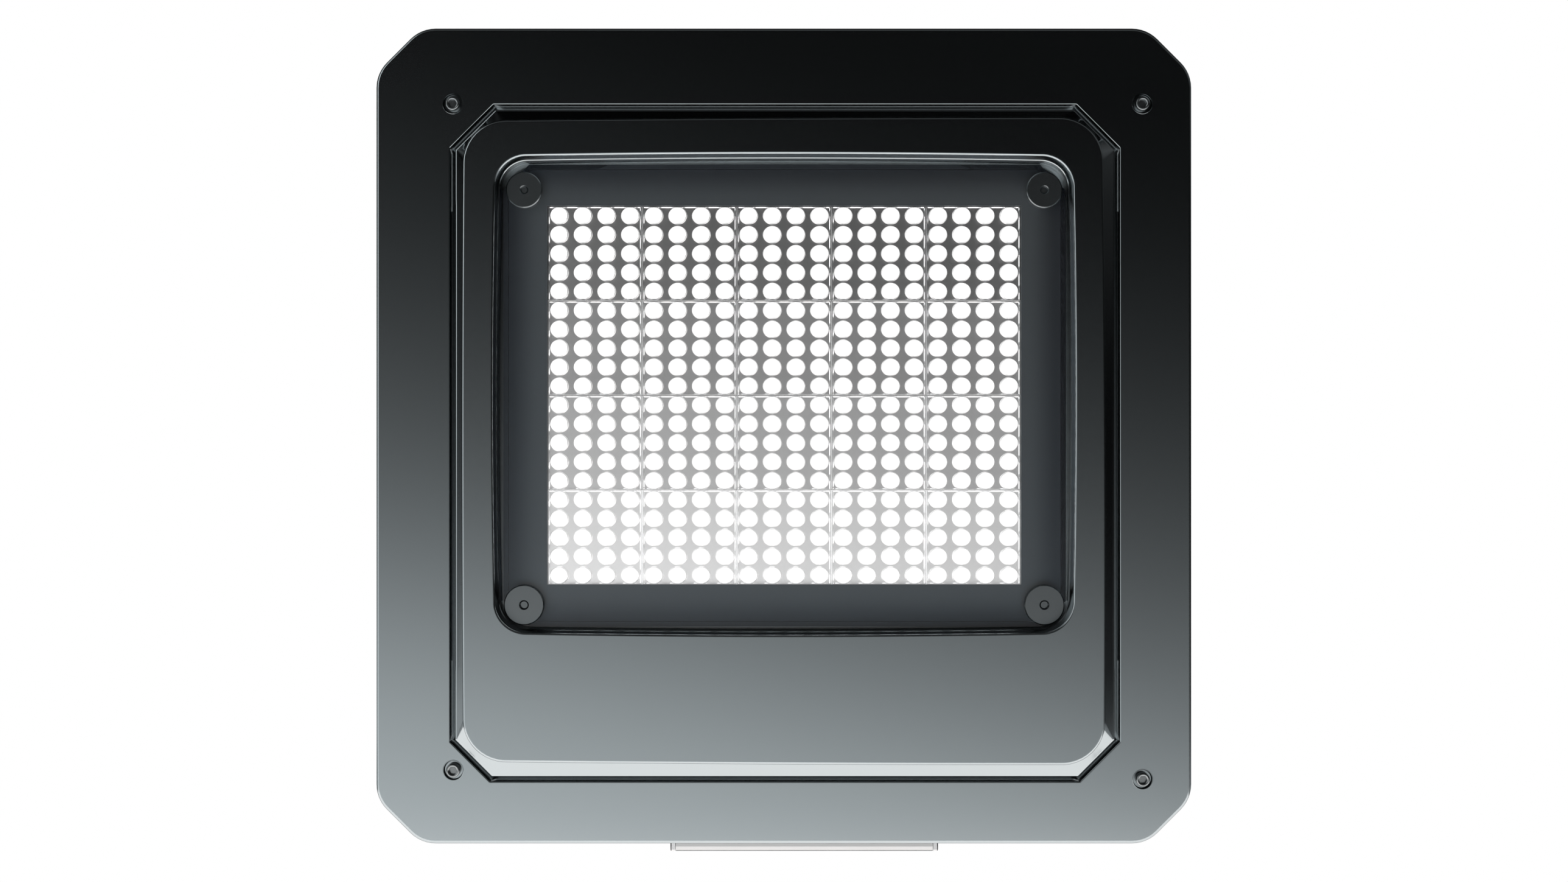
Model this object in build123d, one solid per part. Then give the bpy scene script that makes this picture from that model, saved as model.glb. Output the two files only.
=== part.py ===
from build123d import *
import math
import os

# Recessed LED canopy light: a trim plate hinged on a mounting frame, carrying a cast
# housing with a glazed window of lens blocks and a driver compartment.
# Sizes are in millimetres. X runs to the right of the face and Z up it, as it is seen
# from the front. Y runs back into the canopy, whose surface is Y = 0.

os.makedirs("parts", exist_ok=True)

# Trim plate
plate_side = 500.0
plate_corner_cut = 27.3
plate_corner_radius = 22.0
plate_front = -10.0
sheet = 2.0
plate_rim_back = -0.5
plate_edge_cut = 1.0
opening_left, opening_right = -204.7, 206.0
opening_bottom, opening_top = -211.9, 203.2
opening_cut_top, opening_cut_bottom = 26.6, 24.4
opening_back = 12.0
opening_return = 2.6

# Plate screws, where they stand on the face
screw_places = [(-203.0, 203.7), (219.8, 203.7), (-202.7, -205.0), (220.0, -210.6)]
recess_radius = 6.0
recess_depth = 3.0
cup_radius = 8.4
screw_hole_radius = 3.0
screw_head_radius = 4.25
screw_head_height = 5.0
screw_socket_across = 4.4
screw_socket_depth = 2.6
screw_root_radius = 2.07
screw_thread_radius = 2.5
screw_tip = -0.2

# Mounting frame and hinge
frame_thickness = 4.0
frame_inset = 13.0
frame_gap = 3.0
fixing_hole_radius = 2.75
fixing_across, fixing_up = 448.0, 300.0
gasket_outer_inset, gasket_inner_inset = 4.0, 11.8
axis_depth, axis_height = -4.4, -252.0
barrel_radius = 3.4
barrel_left, barrel_right = -66.4, 91.5
pin_radius = 1.5
pin_clearance = 0.06
ear_reach = 3.2
ear_corner = 1.2
ear_thickness = 2.3
ear_gap = 0.3
hinge_notch_gap = 2.2
leaf_thickness = 1.5
leaf_room = 0.1
leaf_top = -226.0
foot_width = 21.0
foot_top = -218.5
hinge_room = 1.0

# Side brackets, in a shallow seat on each side of the housing
seat_half = 141.0
seat_depth = 0.5
seat_lean = 4.4
seat_reach = 3.0
bracket_sheet = 1.5
bracket_half = 140.0
bracket_front, bracket_turn, bracket_back = 3.0, 12.5, 21.0

# Housing, whose face stands in front of the plate, and the heat sink behind it
base_gap = 3.3
base_front = -9.6
base_land = 0.9
skirt_back = 22.0
face_front = -16.0
face_left, face_right = -196.8, 196.2
face_bottom, face_top = -200.6, 194.1
face_corner = 20.0
face_bulge = 2.4
face_edge_in, face_edge_back = 1.0, 0.8
window_left, window_right = -177.7, 177.9
window_bottom, window_top = -121.4, 172.2
window_corner = 19.0
window_bulge = 1.4
pocket_left, pocket_right = -175.7, 176.6
pocket_bottom, pocket_top = -119.9, 170.0
pocket_corner = 16.0
draft_back = 0.0
ledge = 7.2
well_margin = 2.5
well_floor = 16.0
groove_left, groove_right = -195.5, 196.5
groove_bottom, groove_top = -112.0, 194.0
groove_cut, groove_low_cut = 24.0, 1.0
groove_wall = 5.0
groove_front = -6.0
fin_back = 58.0
fin_thickness = 2.8
fin_pitch = 19.6
fin_count = 18
fin_bottom, fin_top = -112.0, 172.0
fin_slope = 14.0

# Driver compartment
gear_left, gear_right = -194.0, 152.0
gear_bottom, gear_top = -206.0, -124.0
gear_cut_bottom, gear_cut_top = 24.0, 6.0
gear_back = 56.0
gear_wall = 6.0
gear_floor = -12.0
cover_seal = 1.5
cover_sheet = 3.0

# Window
pane_front, pane_back = 1.0, 5.0
pane_gap = 0.3
seal_inset, seal_width = 1.8, 3.0
seal_corner = 16.0
mask_front = 5.4
mask_gap = 0.2
array_x, array_z = 0.2, 25.3
aperture_margin = 0.7
clamp_x = 160.4
clamp_upper_z, clamp_lower_z = 151.7, -104.2
clamp_front, clamp_back = -3.0, 1.0
clamp_upper_radius, clamp_lower_radius = 11.1, 12.4
clamp_upper_hole, clamp_lower_hole = 2.65, 2.95
clamp_hole_depth = 1.8
clamp_sides = 20
clamp_shank_radius = 2.5
clamp_shank_end = 15.8
shank_room = 0.6

# Lens blocks
blocks_across, blocks_up = 5, 4
lenses_across, lenses_up = 4, 5
lens_pitch_x, lens_pitch_z = 14.73, 11.78
lens_radius = 5.6
lens_sides = 6
lens_front = 7.6
block_front, block_back = 11.5, 13.5
block_gap = 0.15
rim_front = 10.2
rim_width = 0.9
board_back = 15.1
block_width = lenses_across * lens_pitch_x
block_height = lenses_up * lens_pitch_z
array_width = blocks_across * block_width
array_height = blocks_up * block_height

# Driver, terminals and cable entry
tray_front, tray_sheet = -4.0, 1.5
tray_left, tray_right = -176.0, 122.0
tray_bottom, tray_top = -186.0, -144.0
driver_left, driver_right = -170.0, 34.0
driver_bottom, driver_top = -190.0, -140.0
driver_height = 32.0
driver_ear, driver_ear_sheet, driver_ear_margin = 8.0, 2.0, 12.0
tray_margin = 2.0
surge_left, surge_right = 46.0, 78.0
surge_height = 26.0
terminal_left, terminal_right = 86.0, 116.0
terminal_step, terminal_height = 16.0, 22.0
terminal_ways, terminal_pitch = 5, 7.2
well_half, well_margin_x, well_length, well_low = 2.6, 4.0, 6.0, 8.0
lead_radius = 1.2
lead_depth = 9.5
lead_heights = [-172.0, -166.0, -160.0]
gland_depth, gland_height = 39.0, -164.0
gland_bore = 5.0
gland_thread = 8.0
gland_hex, gland_cap_hex = 24.0, 20.0
gland_flange, gland_cap = 6.0, 18.0
gland_inside = 5.0
vent_x, vent_z = -100.0, -165.0
vent_hex, vent_stem = 16.0, 5.0
vent_height, vent_depth = 3.0, 7.0


def front_plane(depth):
    """The plane of the face at a depth, with X to the right and Z up."""
    return Plane(origin=(0, depth, 0), x_dir=(1, 0, 0), z_dir=(0, -1, 0))


def slab(outline, front, back):
    """An outline drawn as seen from the front, filled between two depths."""
    return extrude(front_plane(back) * outline, amount=back - front)


def block(left, right, front, back, bottom, top):
    """A box between six planes."""
    size = (right - left, back - front, top - bottom)
    centre = ((left + right) / 2, (front + back) / 2, (bottom + top) / 2)
    return Pos(*centre) * Box(*size)


def rod(x, z, radius, front, back):
    """A round bar along Y."""
    return slab(Pos(x, z) * Circle(radius), front, back)


def cross_rod(left, right, depth, height, radius):
    """A round bar along X."""
    plane = Plane(origin=(left, depth, height), x_dir=(0, 1, 0), z_dir=(1, 0, 0))
    return extrude(plane * Circle(radius), amount=right - left)


def stud(x, z, radius, front, back, sides=8):
    """A small round bar along Y, drawn with flat sides."""
    return slab(Pos(x, z) * RegularPolygon(radius, sides), front, back)


def pyramid(corners, tip):
    """A solid from a flat ring of corners up to a tip."""
    following = corners[1:] + corners[:1]
    sides = [Face(Wire.make_polygon([a, b, tip])) for a, b in zip(corners, following)]
    base = Face(Wire.make_polygon(corners))
    return Solid(Shell([base, *sides]))


def octagon(left, right, bottom, top, cut_bottom, cut_top):
    """A rectangle with its corners cut at 45 degrees."""
    return Polygon(
        (left, bottom + cut_bottom),
        (left + cut_bottom, bottom),
        (right - cut_bottom, bottom),
        (right, bottom + cut_bottom),
        (right, top - cut_top),
        (right - cut_top, top),
        (left + cut_top, top),
        (left, top - cut_top),
    )


def opening_outline(grow):
    """The plate's opening, grown by an even offset."""
    cut = grow * (2 - math.sqrt(2))
    return octagon(
        opening_left - grow,
        opening_right + grow,
        opening_bottom - grow,
        opening_top + grow,
        opening_cut_bottom + cut,
        opening_cut_top + cut,
    )


def plate_octagon(inset):
    """The plate's edge with plain corner cuts, moved in by an inset."""
    half = plate_side / 2 - inset
    cut = plate_corner_cut - inset * (2 - math.sqrt(2))
    return octagon(-half, half, -half, half, cut, cut)


def plate_outline(inset):
    """The plate's rounded edge, moved in by an inset."""
    return fillet(plate_octagon(inset).vertices(), plate_corner_radius - inset)


def bulged_rectangle(left, right, bottom, top, corner, bulge):
    """A rounded rectangle whose four sides bow out by a bulge at their middles."""
    low_x, high_x = left + bulge, right - bulge
    low_z, high_z = bottom + bulge, top - bulge
    middle_x, middle_z = (left + right) / 2, (bottom + top) / 2
    reach = corner * (1 - math.sqrt(0.5))
    sides = [
        ThreePointArc((low_x, high_z - corner), (left, middle_z), (low_x, low_z + corner)),
        ThreePointArc(
            (low_x, low_z + corner),
            (low_x + reach, low_z + reach),
            (low_x + corner, low_z),
        ),
        ThreePointArc((low_x + corner, low_z), (middle_x, bottom), (high_x - corner, low_z)),
        ThreePointArc(
            (high_x - corner, low_z),
            (high_x - reach, low_z + reach),
            (high_x, low_z + corner),
        ),
        ThreePointArc((high_x, low_z + corner), (right, middle_z), (high_x, high_z - corner)),
        ThreePointArc(
            (high_x, high_z - corner),
            (high_x - reach, high_z - reach),
            (high_x - corner, high_z),
        ),
        ThreePointArc((high_x - corner, high_z), (middle_x, top), (low_x + corner, high_z)),
        ThreePointArc(
            (low_x + corner, high_z),
            (low_x + reach, high_z - reach),
            (low_x, high_z - corner),
        ),
    ]
    return make_face(sides)


def tapered(*stages):
    """A straight-sided loft through (outline, depth) stages."""
    return loft([front_plane(depth) * outline for outline, depth in stages], ruled=True)


def trim_plate():
    """Folded plate with its rim, the opening's wall and return, and the screw recesses."""
    plate = slab(plate_outline(0), plate_front, plate_rim_back)
    front_edge = plate.faces().sort_by(Axis.Y)[0].edges()
    plate = chamfer(front_edge, plate_edge_cut)
    plate -= slab(plate_outline(sheet), plate_front + sheet, plate_rim_back)
    plate += slab(opening_outline(sheet), plate_front + sheet / 2, opening_back)
    for x, z in screw_places:
        plate += stud(x, z, cup_radius, plate_front + sheet / 2, plate_front + recess_depth + sheet)
    plate -= slab(opening_outline(0), plate_front, opening_back - sheet)
    plate -= slab(opening_outline(-opening_return), plate_front, opening_back)
    for x, z in screw_places:
        plate -= stud(x, z, recess_radius, plate_front, plate_front + recess_depth, 12)
        plate -= stud(x, z, screw_hole_radius, plate_front, 0)
    notch_left = barrel_left - ear_gap - ear_thickness - hinge_notch_gap
    notch_right = barrel_right + ear_gap + ear_thickness + hinge_notch_gap
    inner_edge = -plate_side / 2 + sheet
    plate -= block(notch_left, notch_right, plate_front + sheet, 0, -plate_side / 2, inner_edge)
    return plate


def plate_gasket():
    """Soft seal between the plate and the canopy, cut back at the hinge."""
    ring = plate_octagon(gasket_outer_inset) - plate_octagon(gasket_inner_inset)
    seal = slab(ring, plate_front + sheet, 0)
    low, high = -plate_side / 2, -plate_side / 2 + gasket_inner_inset
    leaf_back = plate_front + sheet + leaf_thickness
    left, right = barrel_left - hinge_room, barrel_right + hinge_room
    seal -= block(left, right, plate_front + sheet, leaf_back + leaf_room, low, high)
    for left in (barrel_left - ear_gap - ear_thickness, barrel_right + ear_gap):
        right = left + ear_thickness
        seal -= block(left - hinge_room, right + hinge_room, plate_front, 0, low, high)
    return seal


def plate_screws():
    """Captive socket-head screws that close the plate on the frame."""
    head_back = plate_front + recess_depth
    head_front = head_back - screw_head_height
    socket = RegularPolygon(screw_socket_across / 2, 6, major_radius=False)
    screws = []
    for x, z in screw_places:
        screw = stud(x, z, screw_head_radius, head_front, head_back, 12)
        screw -= slab(Pos(x, z) * socket, head_front, head_front + screw_socket_depth)
        screws.append(screw + stud(x, z, screw_root_radius, head_back, screw_tip))
    return screws


def mounting_frame():
    """Flat ring that is fixed to the canopy, with the tapped holes for the plate screws."""
    ring = plate_octagon(frame_inset) - opening_outline(sheet + frame_gap)
    frame = slab(ring, -frame_thickness, 0)
    for x, z in screw_places:
        frame -= stud(x, z, screw_thread_radius, -frame_thickness, 0)
    for x in (-fixing_across / 2, fixing_across / 2):
        for z in (-fixing_up / 2, fixing_up / 2):
            frame -= rod(x, z, fixing_hole_radius, -frame_thickness, 0)
    return frame


def hinge_brackets():
    """Two angles on the frame whose ears hold the hinge pin at the barrel's ends."""
    front = -frame_thickness - leaf_thickness
    low_foot = -plate_side / 2 + frame_inset
    brackets = []
    low, high = axis_depth - ear_reach, axis_depth + ear_reach
    bottom = axis_height - ear_reach
    ear_profile = Polygon(
        (low, bottom + ear_corner),
        (low + ear_corner, bottom),
        (high - ear_corner, bottom),
        (high, bottom + ear_corner),
        (high, low_foot),
        (-frame_thickness, low_foot),
        (-frame_thickness, foot_top),
        (low, foot_top),
        align=None,
    )
    for side, inner in ((-1, barrel_left - ear_gap), (1, barrel_right + ear_gap)):
        left, right = sorted((inner, inner + side * ear_thickness))
        plane = Plane(origin=(left, 0, 0), x_dir=(0, 1, 0), z_dir=(1, 0, 0))
        ear = extrude(plane * ear_profile, amount=ear_thickness)
        foot_left, foot_right = sorted((inner, inner + side * foot_width))
        foot = block(foot_left, foot_right, front, -frame_thickness, low_foot, foot_top)
        bore = cross_rod(left, right, axis_depth, axis_height, pin_radius)
        brackets.append(ear + foot - bore)
    return brackets


def hinge_pin():
    """Pin through both ears and the barrel."""
    left = barrel_left - ear_gap - ear_thickness
    right = barrel_right + ear_gap + ear_thickness
    return cross_rod(left, right, axis_depth, axis_height, pin_radius)


def hinge_leaf():
    """Barrel and leaf in one, fixed behind the plate."""
    leaf_front = plate_front + sheet
    leaf = cross_rod(barrel_left, barrel_right, axis_depth, axis_height, barrel_radius)
    leaf += block(
        barrel_left, barrel_right, leaf_front, leaf_front + leaf_thickness, axis_height, leaf_top
    )
    bore_radius = pin_radius + pin_clearance
    return leaf - cross_rod(barrel_left, barrel_right, axis_depth, axis_height, bore_radius)


def side_bracket(side):
    """Joggled strip that joins the opening's wall to the side of the housing."""
    wall = opening_left - sheet if side < 0 else opening_right + sheet
    seat = side_seat(side)
    outer = wall + side * bracket_sheet
    inner = seat + side * bracket_sheet
    strip = slab(box_outline(wall, outer), bracket_front, bracket_turn + bracket_sheet)
    strip += slab(box_outline(seat, outer), bracket_turn, bracket_turn + bracket_sheet)
    strip += slab(box_outline(seat, inner), bracket_turn, bracket_back)
    return strip


def side_seat(side):
    """Where a side bracket lies on the housing."""
    base = opening_left + base_gap if side < 0 else opening_right - base_gap
    return base - side * seat_depth


def box_outline(first, second):
    """A strip between two X values, as long as the side brackets."""
    left, right = sorted((first, second))
    return Pos((left + right) / 2, 0) * Rectangle(right - left, 2 * bracket_half)


def window_outline(inset):
    """The window pocket's outline, moved in by an inset."""
    return bulged_rectangle(
        pocket_left + inset,
        pocket_right - inset,
        pocket_bottom + inset,
        pocket_top - inset,
        pocket_corner - inset,
        window_bulge,
    )


def gear_outline(inset):
    """The driver compartment's outline, moved in by an inset."""
    cut = inset * (2 - math.sqrt(2))
    return octagon(
        gear_left + inset,
        gear_right - inset,
        gear_bottom + inset,
        gear_top - inset,
        gear_cut_bottom - cut,
        gear_cut_top - cut,
    )


def clamp_places(z):
    return [(array_x - clamp_x, z), (array_x + clamp_x, z)]


def all_clamp_places():
    return clamp_places(clamp_upper_z) + clamp_places(clamp_lower_z)


def fin(x):
    """One cooling fin with sloped ends."""
    plane = Plane(origin=(x - fin_thickness / 2, 0, 0), x_dir=(0, 1, 0), z_dir=(1, 0, 0))
    side = Polygon(
        (skirt_back, fin_bottom),
        (fin_back, fin_bottom + fin_slope),
        (fin_back, fin_top - fin_slope),
        (skirt_back, fin_top),
        align=None,
    )
    return extrude(plane * side, amount=fin_thickness)


def face_outline(inset):
    """The edge of the housing's face, moved in by an inset."""
    return bulged_rectangle(
        face_left + inset,
        face_right - inset,
        face_bottom + inset,
        face_top - inset,
        face_corner - inset,
        face_bulge,
    )


def housing_front():
    """Sloped front with its rounded face edge, the skirt behind it and the bracket seats."""
    base = opening_outline(-base_gap)
    body = tapered(
        (face_outline(face_edge_in), face_front),
        (face_outline(0), face_front + face_edge_back),
        (opening_outline(-base_gap - base_land), base_front),
    )
    body += slab(base, base_front, skirt_back)
    for side in (-1, 1):
        seat = side_seat(side)
        outside = seat + side * seat_reach
        cut = Polygon(
            (seat, skirt_back),
            (seat, base_front),
            (seat - side * seat_lean, face_front + face_edge_back),
            (outside, face_front + face_edge_back),
            (outside, skirt_back),
            align=None,
        )
        body -= extrude(cut, amount=seat_half, both=True)
    return body


def window_cut():
    """The drafted window, the pane's pocket and the well for the lens blocks."""
    window = bulged_rectangle(
        window_left, window_right, window_bottom, window_top, window_corner, window_bulge
    )
    cut = tapered((window, face_front), (window_outline(0), draft_back))
    cut += slab(window_outline(0), draft_back, ledge)
    well = Pos(array_x, array_z) * Rectangle(
        array_width + 2 * well_margin, array_height + 2 * well_margin
    )
    return cut + slab(well, ledge, well_floor)


def inner_outline(bottom):
    """The border of the window pocket, down to a height."""
    return octagon(
        pocket_left - groove_wall,
        pocket_right + groove_wall,
        bottom,
        pocket_top + groove_wall,
        groove_low_cut,
        pocket_corner,
    )


def sink_outline():
    """The heat sink's plate, down to the driver compartment."""
    return inner_outline(gear_top - gear_wall)


def rear_groove():
    """Relief behind the border, down both sides and across the top."""
    low_cut = groove_low_cut
    outer = octagon(groove_left, groove_right, groove_bottom, groove_top, low_cut, groove_cut)
    return slab(outer - inner_outline(groove_bottom - low_cut), groove_front, skirt_back)


def housing():
    """Front casting: sloped edge, window and the front of the driver compartment."""
    body = housing_front() - rear_groove() - window_cut()
    body -= slab(sink_outline(), well_floor, skirt_back)
    body -= slab(gear_outline(gear_wall), gear_floor, skirt_back)
    for x, z in all_clamp_places():
        body -= stud(x, z, clamp_shank_radius, ledge, well_floor)
    return body


def heat_sink():
    """Rear casting: plate behind the lens blocks, cooling fins and the driver compartment."""
    body = slab(sink_outline(), well_floor, skirt_back)
    walls = gear_outline(0) - gear_outline(gear_wall)
    body += slab(walls, skirt_back, gear_back)
    first = -fin_pitch * (fin_count - 1) / 2
    body = body.fuse(*[fin(first + index * fin_pitch) for index in range(fin_count)])
    entry = hex_bar(gear_right - gear_wall, gear_right, gland_thread * math.sqrt(3))
    return body - entry


def window_glass():
    """Toughened pane with a hole for each clamp."""
    pane = slab(window_outline(pane_gap), pane_front, pane_back)
    for x, z in all_clamp_places():
        pane -= stud(x, z, clamp_shank_radius + shank_room, pane_front, pane_back)
    return pane


def seal_outline(inset):
    """The seal's edge in the window pocket, moved in by an inset."""
    cut = seal_corner - inset * (2 - math.sqrt(2))
    return octagon(
        pocket_left + seal_inset + inset,
        pocket_right - seal_inset - inset,
        pocket_bottom + seal_inset + inset,
        pocket_top - seal_inset - inset,
        cut,
        cut,
    )


def glass_gasket():
    """Soft ring between the pane's border and the housing's ledge."""
    return slab(seal_outline(0) - seal_outline(seal_width), pane_back, ledge)


def optic_mask():
    """Dark sheet behind the pane, open over the lens blocks."""
    outline = seal_outline(seal_width + mask_gap)
    opening = Rectangle(array_width + 2 * aperture_margin, array_height + 2 * aperture_margin)
    outline -= Pos(array_x, array_z) * opening
    mask = slab(outline, mask_front, ledge)
    for x, z in all_clamp_places():
        mask -= stud(x, z, clamp_shank_radius + shank_room, mask_front, ledge)
    return mask


def clamps(z, radius, hole):
    """A pair of flat round clamps on the pane, each with its shank into the housing."""
    pair = []
    for x, height in clamp_places(z):
        clamp = stud(x, height, radius, clamp_front, clamp_back, clamp_sides)
        clamp -= stud(x, height, hole, clamp_front, clamp_front + clamp_hole_depth, 12)
        pair.append(clamp + stud(x, height, clamp_shank_radius, clamp_back, clamp_shank_end))
    return pair


def lens(x, z):
    """One lens, rising from the block's front to its crown."""
    corners = []
    for side in range(lens_sides):
        turn = math.tau * (side + 0.5) / lens_sides
        across, up = lens_radius * math.cos(turn), lens_radius * math.sin(turn)
        corners.append((x + across, block_front, z + up))
    return pyramid(corners, (x, lens_front, z))


def lens_block(column, row):
    """One moulded block of lenses with a raised edge."""
    x = array_x + (column - (blocks_across - 1) / 2) * block_width
    z = array_z + ((blocks_up - 1) / 2 - row) * block_height
    half_x, half_z = (block_width - block_gap) / 2, (block_height - block_gap) / 2
    inner_x, inner_z = half_x - rim_width, half_z - rim_width
    made = block(x - half_x, x + half_x, rim_front, block_back, z - half_z, z + half_z)
    made -= block(x - inner_x, x + inner_x, rim_front, block_front, z - inner_z, z + inner_z)
    lenses = []
    for i in range(lenses_across):
        for j in range(lenses_up):
            lens_x = x + (i - (lenses_across - 1) / 2) * lens_pitch_x
            lens_z = z + (j - (lenses_up - 1) / 2) * lens_pitch_z
            lenses.append(lens(lens_x, lens_z))
    return made.fuse(*lenses)


def led_board(row):
    """Circuit board behind one row of lens blocks."""
    half_x, half_z = array_width / 2, block_height / 2 - block_gap
    z = array_z + ((blocks_up - 1) / 2 - row) * block_height
    return block(array_x - half_x, array_x + half_x, block_back, board_back, z - half_z, z + half_z)


def thermal_pad():
    """Heat-conducting sheet between the boards and the housing."""
    pad = Pos(array_x, array_z) * Rectangle(array_width, array_height)
    return slab(pad, board_back, well_floor)


def gear_tray():
    """Channel that carries the driver and terminals, standing on its two folded edges."""
    back = tray_front + tray_sheet
    tray = block(tray_left, tray_right, tray_front, back, tray_bottom, tray_top)
    for z in (tray_bottom, tray_top - tray_sheet):
        tray += block(tray_left, tray_right, gear_floor, back, z, z + tray_sheet)
    return tray


def driver():
    """Driver case with a mounting ear at each end."""
    front = tray_front + tray_sheet
    left, right = driver_left + driver_ear, driver_right - driver_ear
    case = block(left, right, front, front + driver_height, driver_bottom, driver_top)
    ear_back = front + driver_ear_sheet
    low, high = driver_bottom + driver_ear_margin, driver_top - driver_ear_margin
    return case + block(driver_left, driver_right, front, ear_back, low, high)


def tray_block(left, right, height):
    """A box that stands on the tray, a little inside its long edges."""
    front = tray_front + tray_sheet
    low, high = tray_bottom + tray_margin, tray_top - tray_margin
    return block(left, right, front, front + height, low, high)


def surge_protector():
    """Surge protector's plain case."""
    return tray_block(surge_left, surge_right, surge_height)


def terminal_block():
    """Terminal block with a screw well and a wire entry for each way."""
    body = tray_block(terminal_left, terminal_right, terminal_height)
    front = tray_front + tray_sheet
    step, top = front + terminal_step, front + terminal_height
    screw_left = terminal_left + well_margin_x
    entry_left = terminal_right - well_margin_x - well_length
    for way in range(terminal_ways):
        z = (tray_bottom + tray_top) / 2 + (way - (terminal_ways - 1) / 2) * terminal_pitch
        low, high = z - well_half, z + well_half
        body -= block(screw_left, screw_left + well_length, step, top, low, high)
        body -= block(entry_left, terminal_right, front + well_low, step, low, high)
    return body


def hex_bar(left, right, across):
    """A hexagonal bar along X at the cable entry."""
    plane = Plane(origin=(left, gland_depth, gland_height), x_dir=(0, 1, 0), z_dir=(1, 0, 0))
    return extrude(plane * RegularPolygon(across / 2, 6, major_radius=False), amount=right - left)


def cable_gland():
    """Cable gland: thread through the wall, flange and clamping cap, with the cable's bore."""
    inside = gear_right - gear_wall - gland_inside
    flange_end = gear_right + gland_flange
    cap_end = flange_end + gland_cap
    gland = hex_bar(inside, gear_right, gland_thread * math.sqrt(3))
    gland += hex_bar(gear_right, flange_end, gland_hex)
    gland += hex_bar(flange_end, cap_end, gland_cap_hex)
    return gland - cross_rod(inside, cap_end, gland_depth, gland_height, gland_bore)


def cover_gasket():
    """Seal under the rear cover."""
    ring = gear_outline(0) - gear_outline(gear_wall)
    return slab(ring, gear_back, gear_back + cover_seal)


def gear_cover():
    """Rear cover of the driver compartment."""
    front = gear_back + cover_seal
    cover = slab(gear_outline(0), front, front + cover_sheet)
    return cover - stud(vent_x, vent_z, vent_stem, front, front + cover_sheet)


def breather_vent():
    """Pressure vent through the rear cover."""
    back = gear_back + cover_seal + cover_sheet
    outline = Pos(vent_x, vent_z) * RegularPolygon(vent_hex / 2, 6, major_radius=False)
    head = slab(outline, back, back + vent_height)
    return head + stud(vent_x, vent_z, vent_stem, back - vent_depth, back)


def lead(points):
    """A six-sided insulated lead along straight runs."""
    path = Polyline(*points)
    start = Plane(origin=path @ 0, z_dir=path % 0)
    return sweep(start * RegularPolygon(lead_radius, 6), path=path, transition=Transition.RIGHT)


def leads():
    """Leads from the driver to the surge protector, and on to the terminals."""
    runs = []
    for z in lead_heights:
        driver_end = (driver_right - driver_ear, lead_depth, z)
        runs.append(lead([driver_end, (surge_left, lead_depth, z)]))
        runs.append(lead([(surge_right, lead_depth, z), (terminal_left, lead_depth, z)]))
    return runs


nodes = {
    "trim_plate": trim_plate,
    "plate_gasket": plate_gasket,
    "plate_screws": plate_screws,
    "mounting_frame": mounting_frame,
    "hinge_brackets": hinge_brackets,
    "hinge_pin": hinge_pin,
    "hinge_leaf": hinge_leaf,
    "side_bracket_left": lambda: side_bracket(-1),
    "side_bracket_right": lambda: side_bracket(1),
    "housing": housing,
    "heat_sink": heat_sink,
    "window_glass": window_glass,
    "glass_gasket": glass_gasket,
    "optic_mask": optic_mask,
    "clamps_upper": lambda: clamps(clamp_upper_z, clamp_upper_radius, clamp_upper_hole),
    "clamps_lower": lambda: clamps(clamp_lower_z, clamp_lower_radius, clamp_lower_hole),
    "thermal_pad": thermal_pad,
    "gear_tray": gear_tray,
    "driver": driver,
    "surge_protector": surge_protector,
    "terminal_block": terminal_block,
    "cable_gland": cable_gland,
    "cover_gasket": cover_gasket,
    "gear_cover": gear_cover,
    "breather_vent": breather_vent,
    "leads": leads,
}
for row in range(blocks_up):
    nodes[f"led_board_{row + 1}"] = lambda row=row: led_board(row)
    for column in range(blocks_across):
        name = f"lens_block_{row + 1}_{column + 1}"
        nodes[name] = lambda column=column, row=row: lens_block(column, row)

for name, make in nodes.items():
    made = make()
    solids = made if isinstance(made, list) else [made]
    whole = Compound(children=solids) if len(solids) > 1 else solids[0]
    export_step(whole, f"parts/{name}.step")
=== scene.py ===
import math

import bmesh
import bpy
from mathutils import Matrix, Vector

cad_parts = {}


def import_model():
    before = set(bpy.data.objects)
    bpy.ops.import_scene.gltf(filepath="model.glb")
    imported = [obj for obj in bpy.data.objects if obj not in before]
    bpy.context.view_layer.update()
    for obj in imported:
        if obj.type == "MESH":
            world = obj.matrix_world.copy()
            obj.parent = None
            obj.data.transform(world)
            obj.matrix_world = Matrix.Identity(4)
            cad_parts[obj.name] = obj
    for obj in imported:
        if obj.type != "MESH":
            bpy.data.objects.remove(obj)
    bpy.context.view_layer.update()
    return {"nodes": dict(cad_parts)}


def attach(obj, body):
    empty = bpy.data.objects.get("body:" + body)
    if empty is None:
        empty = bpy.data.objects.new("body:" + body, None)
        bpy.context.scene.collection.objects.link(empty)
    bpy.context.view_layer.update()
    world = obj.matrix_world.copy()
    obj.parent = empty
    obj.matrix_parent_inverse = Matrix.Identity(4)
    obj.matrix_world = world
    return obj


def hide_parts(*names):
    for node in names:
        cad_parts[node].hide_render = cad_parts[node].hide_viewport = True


# The looks of a recessed canopy light: fine skins for the plate, the housing, the clamps,
# the screws and the lens blocks, its small fasteners, its materials and a plain studio.
# Lengths are millimetres until a mesh is made.

MM = 0.001
FRONT, BACK, LEFT, RIGHT = (0, -1, 0), (0, 1, 0), (-1, 0, 0), (1, 0, 0)

# Edges sharper than this stay sharp when a skin is shaded smooth, in degrees
sharp_angle, lens_sharp_angle = 32.0, 50.0
# Width of the flat band beside a rounded edge, and of a small bevel
land, bevel = 0.4, 0.4

# Camera, straight in front of the face
camera_distance = 1335.0
camera_x, camera_z = 0.1, -3.1
camera_lens = 50.0

# Points on each part of an outline: a corner's small arc, a cut corner and a long side
corner_points, cut_points, side_points = 6, 8, 24
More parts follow.
